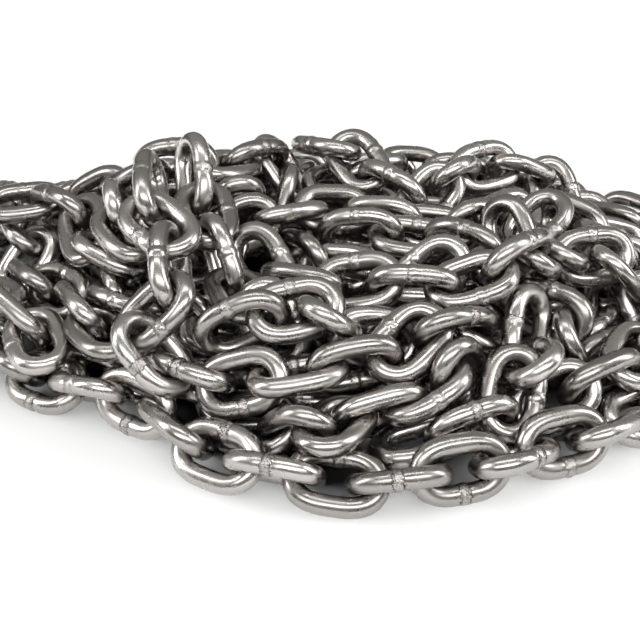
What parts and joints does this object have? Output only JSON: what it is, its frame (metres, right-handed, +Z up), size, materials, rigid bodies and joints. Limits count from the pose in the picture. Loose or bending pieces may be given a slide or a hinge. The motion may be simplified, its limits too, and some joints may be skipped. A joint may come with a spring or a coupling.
{
  "type": "heap of steel chain",
  "caption": "Loose heap of bright short-link steel chain, poured out in overlapping strands with a flat-bottomed core under them.",
  "frame": {"origin": "centre of the heap's box at floor level", "axes": "+X along the heap's long side, to the right seen from its front; +Y towards its back; +Z up"},
  "size_m": [0.4039, 0.2955, 0.0931],
  "materials": {
    "chain_steel": "tumbled bright stainless steel wire, glossy, with a flash-weld scar on each link",
    "core_steel": "the same steel in the dark of the heap"
  },
  "bodies": {
    "root": {"back_floor_run_1": "chain_steel", "back_floor_run_2": "chain_steel", "back_floor_run_3": "chain_steel", "back_floor_run_4": "chain_steel", "back_floor_run_5": "chain_steel", "back_floor_run_6": "chain_steel", "back_left_run_1": "chain_steel", "back_left_run_2": "chain_steel", "back_mid_run_1": "chain_steel", "back_mid_run_2": "chain_steel", "back_ridge_run_1": "chain_steel", "back_ridge_run_2": "chain_steel", "back_ridge_run_3": "chain_steel", "back_right_run_1": "chain_steel", "back_right_run_2": "chain_steel", "back_right_run_3": "chain_steel", "centre_back_run_1": "chain_steel", "centre_front_run_1": "chain_steel", "centre_front_run_2": "chain_steel", "centre_top_run_1": "chain_steel", "centre_top_run_2": "chain_steel", "core": "core_steel", "front_floor_run_1": "chain_steel", "front_floor_run_2": "chain_steel", "front_floor_run_3": "chain_steel", "front_floor_run_4": "chain_steel", "front_low_left_run_1": "chain_steel", "front_low_left_run_2": "chain_steel", "front_low_right_run_1": "chain_steel", "left_edge_run_1": "chain_steel", "left_edge_run_2": "chain_steel", "left_face_run_1": "chain_steel", "left_face_run_2": "chain_steel", "left_inner_run_1": "chain_steel", "left_inner_run_2": "chain_steel", "left_low_run_1": "chain_steel", "left_top_run_1": "chain_steel", "left_top_run_2": "chain_steel", "mid_face_run_1": "chain_steel", "peak_face_run_1": "chain_steel", "peak_face_run_2": "chain_steel", "peak_face_run_3": "chain_steel", "peak_side_run_1": "chain_steel", "right_edge_run_1": "chain_steel", "right_face_run_1": "chain_steel", "right_face_run_2": "chain_steel", "right_low_run_1": "chain_steel", "saddle_run_1": "chain_steel", "saddle_run_2": "chain_steel", "top_ridge_run_1": "chain_steel", "top_ridge_run_2": "chain_steel", "top_ridge_run_3": "chain_steel"}
  },
  "joints": []
}
